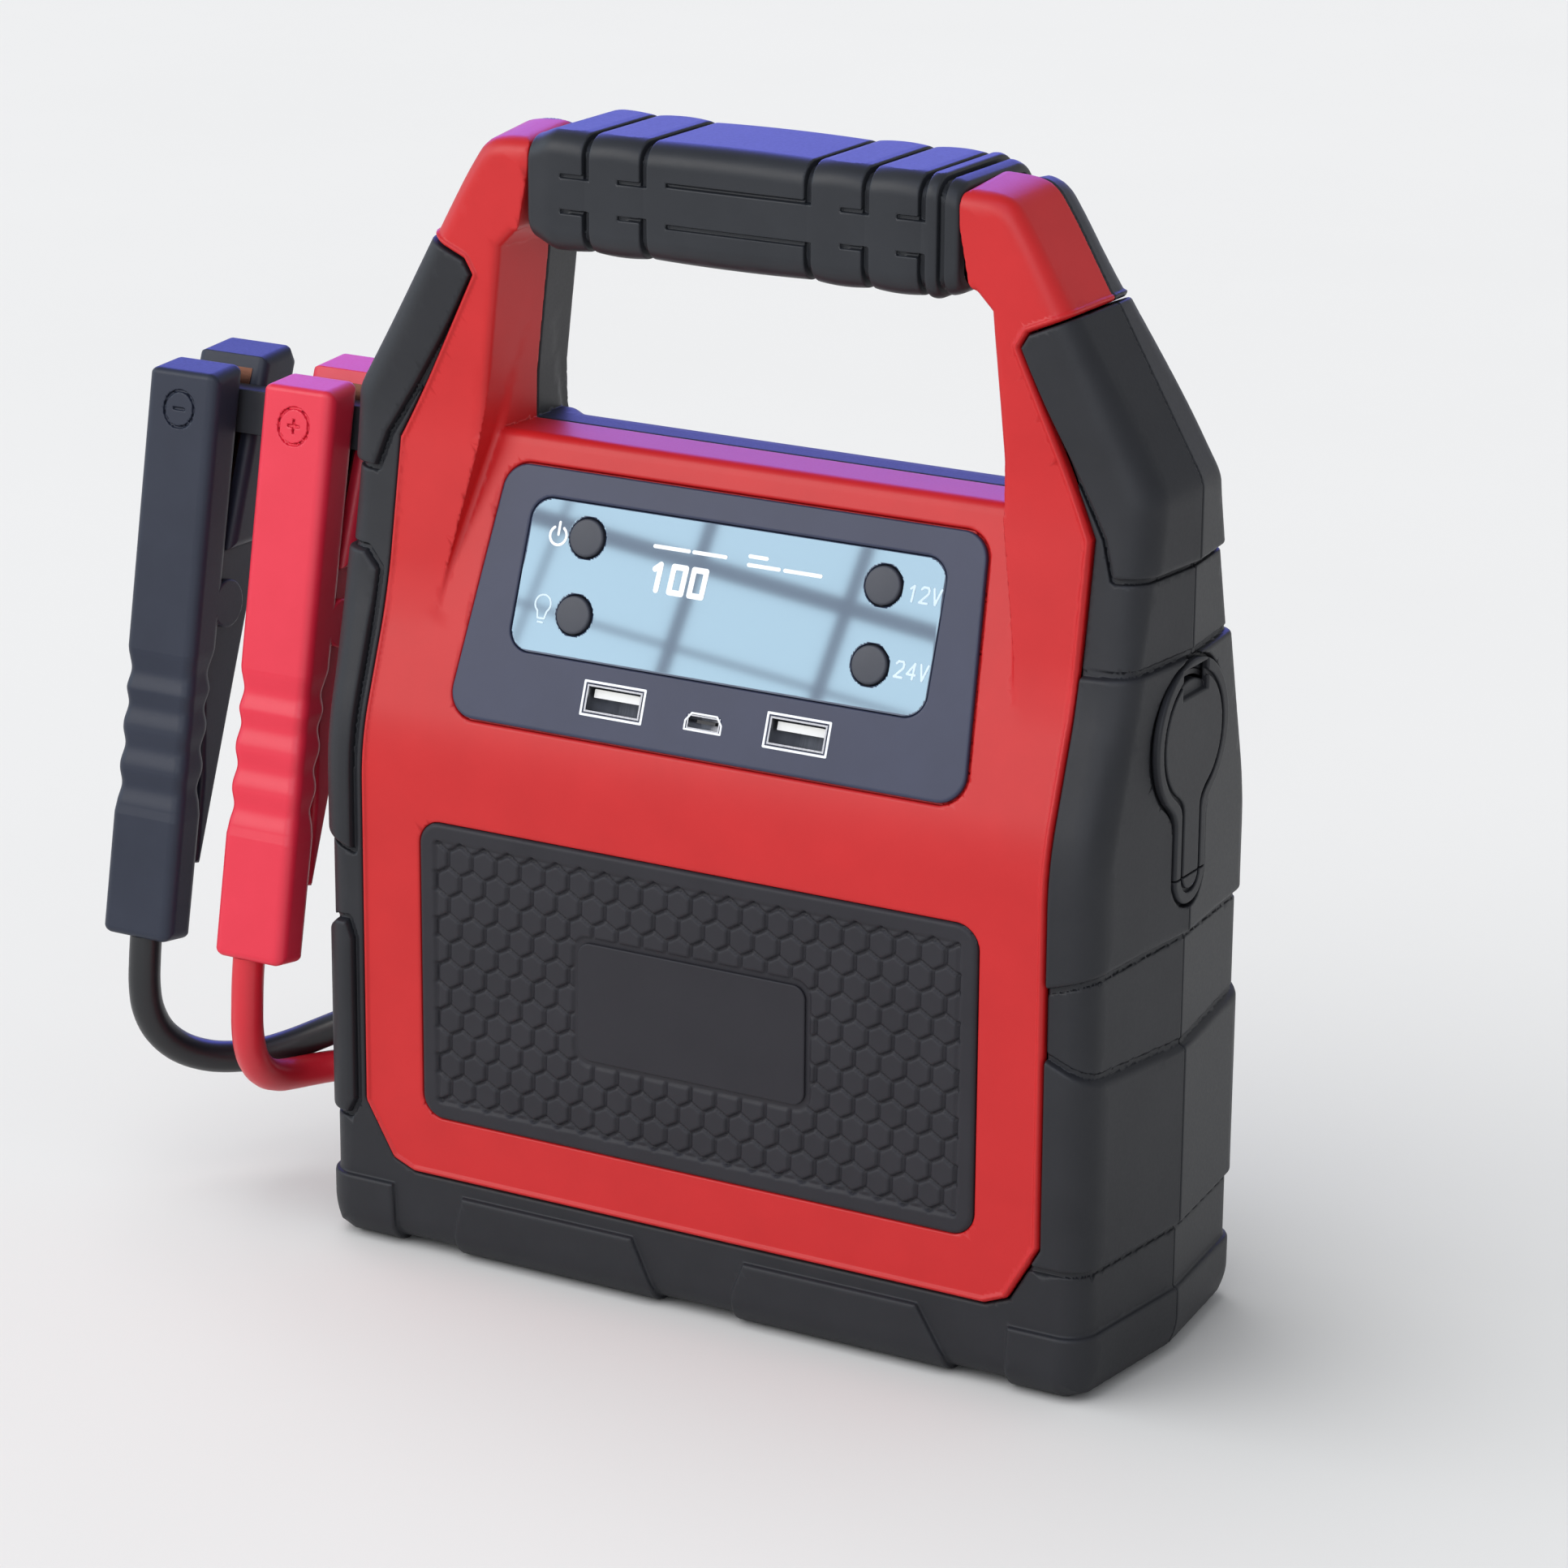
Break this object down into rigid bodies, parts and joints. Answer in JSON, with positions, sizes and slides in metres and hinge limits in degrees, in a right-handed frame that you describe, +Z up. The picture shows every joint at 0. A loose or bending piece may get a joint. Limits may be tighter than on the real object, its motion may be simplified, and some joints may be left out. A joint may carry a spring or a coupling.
{
  "type": "jump starter pack",
  "caption": "Portable jump starter pack: a case with a carrying handle and rubber bumpers, a sloped display, an accessory socket, a rear work lamp, and starting clamps parked on its side.",
  "frame": {"origin": "on the floor, under the middle of the seam between the front and rear shells", "axes": "+X to the side with the accessory socket, +Y to the rear with the work lamp, +Z up towards the grip; the display faces -Y"},
  "size_m": [0.2506, 0.096, 0.247],
  "materials": {
    "case_red": "fine moulded texture",
    "case_black": "fine moulded texture",
    "bumper_rubber": "matt, fine grain",
    "grip_rubber": "matt, grooved",
    "grille_black": "honeycomb relief",
    "badge_black": "smooth, bare",
    "bezel_black": "semi-gloss",
    "display_window": "polished",
    "key_black": "satin",
    "lcd_white": "satin",
    "board_green": "satin",
    "socket_steel": "satin",
    "tongue_white": "satin",
    "tongue_black": "satin",
    "barrel_black": "satin",
    "lamp_black": "fine moulded texture",
    "lamp_chrome": "polished",
    "lamp_clear": "clear",
    "led_white": "satin",
    "cell_foil": "satin",
    "tray_black": "satin",
    "busbar_copper": "satin",
    "relay_black": "satin",
    "screw_steel": "zinc plated",
    "gland_rubber": "matt",
    "rail_black": "satin",
    "lead_black": "satin jacket",
    "lead_red": "satin jacket",
    "clamp_black": "satin",
    "clamp_red": "satin",
    "jaw_copper": "plated",
    "pin_steel": "satin",
    "spring_steel": "satin"
  },
  "bodies": {
    "case": {"front_shell": "case_red", "rear_shell": "case_black", "front_bumper": "bumper_rubber", "rear_bumper": "bumper_rubber", "grip_sleeve": "grip_rubber", "front_grille": "grille_black", "badge_plate": "badge_black", "display_bezel": "bezel_black", "display_lens": "display_window", "lcd_module": "lcd_white", "display_board": "board_green", "tact_switches": "tongue_black", "usb_a_sockets": "socket_steel", "usb_a_tongues": "tongue_white", "micro_usb_socket": "socket_steel", "micro_usb_tongue": "tongue_black", "cover_anchor": "bumper_rubber", "dc_socket_barrel": "barrel_black", "dc_socket_insulator": "tongue_white", "dc_socket_contact": "socket_steel", "lamp_housing": "lamp_black", "lamp_reflector": "lamp_chrome", "lamp_lens": "lamp_clear", "lamp_led_board": "led_white", "battery_cells": "cell_foil", "battery_tray": "tray_black", "cell_busbars": "busbar_copper", "main_board": "board_green", "output_relays": "relay_black", "case_screws": "screw_steel", "lead_glands": "gland_rubber", "clamp_rail": "rail_black", "black_lead": "lead_black", "red_lead": "lead_red", "black_clamp_front_arm": "clamp_black", "black_clamp_front_jaw": "jaw_copper", "black_clamp_pin": "pin_steel", "black_clamp_spring": "spring_steel", "red_clamp_front_arm": "clamp_red", "red_clamp_front_jaw": "jaw_copper", "red_clamp_pin": "pin_steel", "red_clamp_spring": "spring_steel"},
    "power_button": {"power_button": "key_black"},
    "light_button": {"light_button": "key_black"},
    "volts12_button": {"volts12_button": "key_black"},
    "volts24_button": {"volts24_button": "key_black"},
    "socket_cover": {"socket_cover": "bumper_rubber"},
    "black_rear_arm": {"black_clamp_rear_arm": "clamp_black", "black_clamp_rear_jaw": "jaw_copper"},
    "red_rear_arm": {"red_clamp_rear_arm": "clamp_red", "red_clamp_rear_jaw": "jaw_copper"}
  },
  "joints": [
    {"name": "power_button_press", "type": "slide", "parent": "case", "child": "power_button", "axis": [0, 0.9432, -0.3322], "range_m": [0, 0.0006], "stiffness_N_per_m": 600, "springref_m": -0.0006},
    {"name": "light_button_press", "type": "slide", "parent": "case", "child": "light_button", "axis": [0, 0.9432, -0.3322], "range_m": [0, 0.0006], "stiffness_N_per_m": 600, "springref_m": -0.0006},
    {"name": "volts12_button_press", "type": "slide", "parent": "case", "child": "volts12_button", "axis": [0, 0.9432, -0.3322], "range_m": [0, 0.0006], "stiffness_N_per_m": 600, "springref_m": -0.0006},
    {"name": "volts24_button_press", "type": "slide", "parent": "case", "child": "volts24_button", "axis": [0, 0.9432, -0.3322], "range_m": [0, 0.0006], "stiffness_N_per_m": 600, "springref_m": -0.0006},
    {"name": "socket_cover_hinge", "type": "hinge", "parent": "case", "child": "socket_cover", "pos_m": [0.0973, 0, 0.10585], "axis": [0, 1, 0], "range_deg": [0, 120], "stiffness_Nm_per_rad": 0.004, "springref_deg": -11.46},
    {"name": "black_clamp_hinge", "type": "hinge", "parent": "case", "child": "black_rear_arm", "pos_m": [-0.14405, -0.0095, 0.131], "axis": [-1, 0, 0], "range_deg": [0, 8], "stiffness_Nm_per_rad": 0.6, "springref_deg": -22.92},
    {"name": "red_clamp_hinge", "type": "hinge", "parent": "case", "child": "red_rear_arm", "pos_m": [-0.1136, -0.0095, 0.131], "axis": [-1, 0, 0], "range_deg": [0, 8], "stiffness_Nm_per_rad": 0.6, "springref_deg": -22.92}
  ]
}
